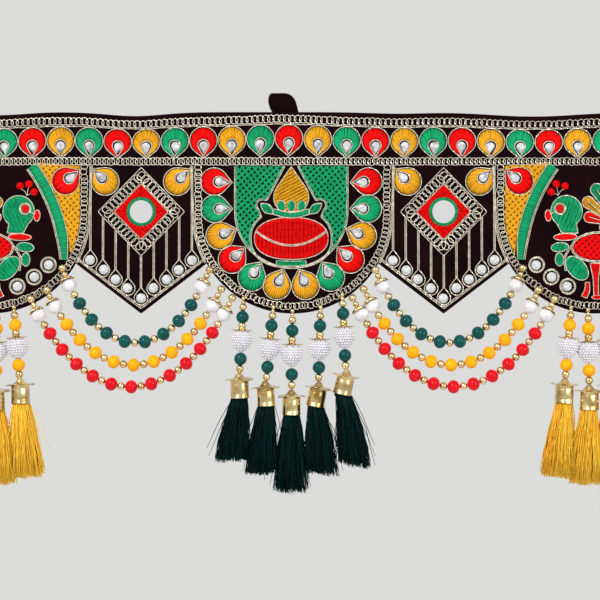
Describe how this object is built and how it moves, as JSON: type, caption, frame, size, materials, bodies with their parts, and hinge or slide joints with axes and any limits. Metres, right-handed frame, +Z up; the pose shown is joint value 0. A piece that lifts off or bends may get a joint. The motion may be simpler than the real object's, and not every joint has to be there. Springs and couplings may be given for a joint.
{
  "type": "toran door hanging",
  "caption": "Embroidered velvet door valance with scalloped and pointed flaps, bead swags between them and tasselled bead drops below.",
  "frame": {"origin": "middle of the panel's top edge, on the back of the cloth", "axes": "+X to the viewer's right along the top edge, +Z up, the embroidered face looks along -Y"},
  "size_m": [0.914, 0.04, 0.455],
  "materials": {
    "velvet": "near-black maroon velvet, embroidered",
    "mirror": "round silvered mirror",
    "teal_beads": "glossy dark teal beads",
    "yellow_beads": "glossy golden yellow beads",
    "red_beads": "glossy red beads",
    "brass": "thin bright brass caps",
    "green_thread": "silky dark teal-green thread",
    "yellow_thread": "silky yellow-orange thread"
  },
  "bodies": {
    "root": {"velvet_panel": "velvet", "tab_left": "velvet", "tab_centre": "velvet", "tab_right": "velvet", "mirror_left": "mirror", "mirror_right": "mirror", "swag_left_green": "teal_beads", "swag_left_yellow": "yellow_beads", "swag_left_red": "red_beads", "swag_right_green": "teal_beads", "swag_right_yellow": "yellow_beads", "swag_right_red": "red_beads", "drop_left_1_beads": "yellow_beads", "drop_left_1_cap": "brass", "drop_left_1_tassel": "yellow_thread", "drop_left_2_beads": "yellow_beads", "drop_left_2_cap": "brass", "drop_left_2_tassel": "yellow_thread", "drop_left_3_beads": "yellow_beads", "drop_left_3_cap": "brass", "drop_left_3_tassel": "yellow_thread", "drop_left_4_beads": "yellow_beads", "drop_left_4_cap": "brass", "drop_left_4_tassel": "yellow_thread", "drop_centre_1_beads": "teal_beads", "drop_centre_1_cap": "brass", "drop_centre_1_tassel": "green_thread", "drop_centre_2_beads": "teal_beads", "drop_centre_2_cap": "brass", "drop_centre_2_tassel": "green_thread", "drop_centre_3_beads": "teal_beads", "drop_centre_3_cap": "brass", "drop_centre_3_tassel": "green_thread", "drop_centre_4_beads": "teal_beads", "drop_centre_4_cap": "brass", "drop_centre_4_tassel": "green_thread", "drop_centre_5_beads": "teal_beads", "drop_centre_5_cap": "brass", "drop_centre_5_tassel": "green_thread", "drop_right_1_beads": "yellow_beads", "drop_right_1_cap": "brass", "drop_right_1_tassel": "yellow_thread", "drop_right_2_beads": "yellow_beads", "drop_right_2_cap": "brass", "drop_right_2_tassel": "yellow_thread", "drop_right_3_beads": "yellow_beads", "drop_right_3_cap": "brass", "drop_right_3_tassel": "yellow_thread", "drop_right_4_beads": "yellow_beads", "drop_right_4_cap": "brass", "drop_right_4_tassel": "yellow_thread"}
  },
  "joints": []
}
